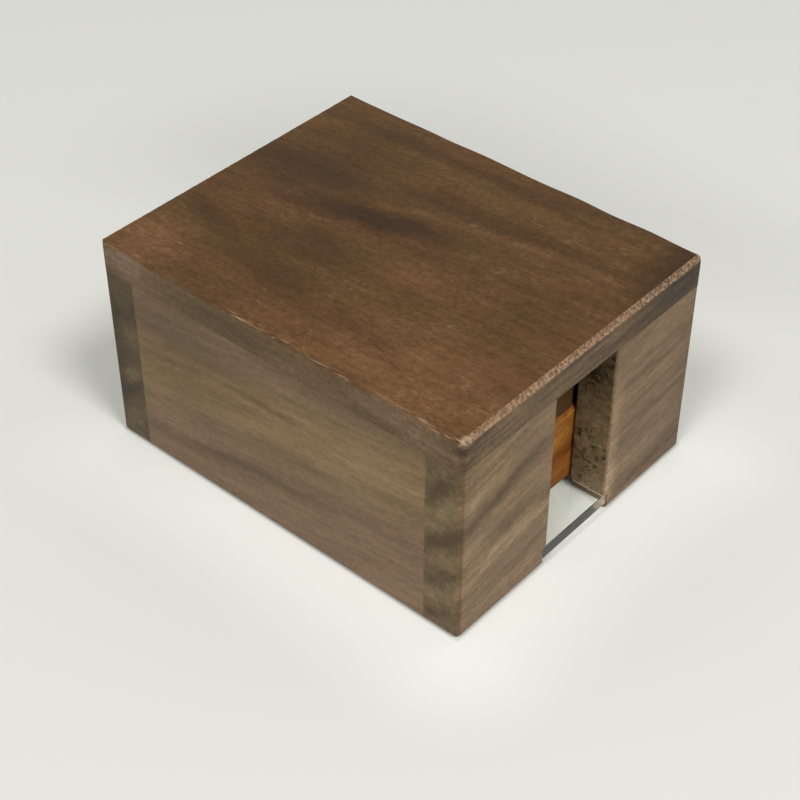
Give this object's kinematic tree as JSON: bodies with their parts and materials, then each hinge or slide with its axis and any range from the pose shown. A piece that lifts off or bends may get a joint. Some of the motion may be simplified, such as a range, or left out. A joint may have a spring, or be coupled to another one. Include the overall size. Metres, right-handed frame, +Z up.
{
  "type": "wooden packing puzzle box",
  "caption": "Walnut case with one open slot in its front and a clear base sheet, holding loose pieces glued up from bevelled wooden cubes.",
  "frame": {"origin": "middle of the base, on the surface that the case stands on", "axes": "+Z up, -Y out through the slot in the front wall, +X to the right seen from the front"},
  "size_m": [0.0762, 0.096, 0.0512],
  "materials": {
    "lid_walnut": "satin oiled",
    "wall_walnut": "satin oiled",
    "walnut_cubes": "satin oiled",
    "orange_wood": "satin oiled",
    "clear_sheet": "polished clear acrylic"
  },
  "bodies": {
    "case": {"lid": "lid_walnut", "front_left": "wall_walnut", "front_right": "wall_walnut", "back_wall": "wall_walnut", "left_wall": "wall_walnut", "right_wall": "wall_walnut", "base_sheet": "clear_sheet"},
    "long_bar": {"long_bar_1": "walnut_cubes", "long_bar_2": "walnut_cubes", "long_bar_3": "walnut_cubes", "long_bar_4": "walnut_cubes"},
    "front_domino": {"front_domino_1": "orange_wood", "front_domino_2": "orange_wood"},
    "back_domino": {"back_domino_1": "orange_wood", "back_domino_2": "orange_wood"},
    "tee": {"tee_1": "orange_wood", "tee_2": "orange_wood", "tee_3": "orange_wood", "tee_4": "orange_wood"},
    "zed": {"zed_1": "walnut_cubes", "zed_2": "walnut_cubes", "zed_3": "walnut_cubes", "zed_4": "walnut_cubes"}
  },
  "joints": [
    {"name": "long_bar_slide", "type": "slide", "parent": "case", "child": "long_bar", "axis": [0, -1, 0], "range_m": [0, 0.0891]},
    {"name": "front_domino_slide", "type": "slide", "parent": "case", "child": "front_domino", "axis": [1, 0, 0], "range_m": [-0.0023, 0.0175]},
    {"name": "back_domino_slide", "type": "slide", "parent": "case", "child": "back_domino", "axis": [0, 1, 0], "range_m": [0, 0.0192]},
    {"name": "tee_slide", "type": "slide", "parent": "case", "child": "tee", "axis": [0, 1, 0], "range_m": [0, 0.0192]},
    {"name": "zed_slide", "type": "slide", "parent": "case", "child": "zed", "axis": [0, -1, 0], "range_m": [0, 0.0192]}
  ]
}
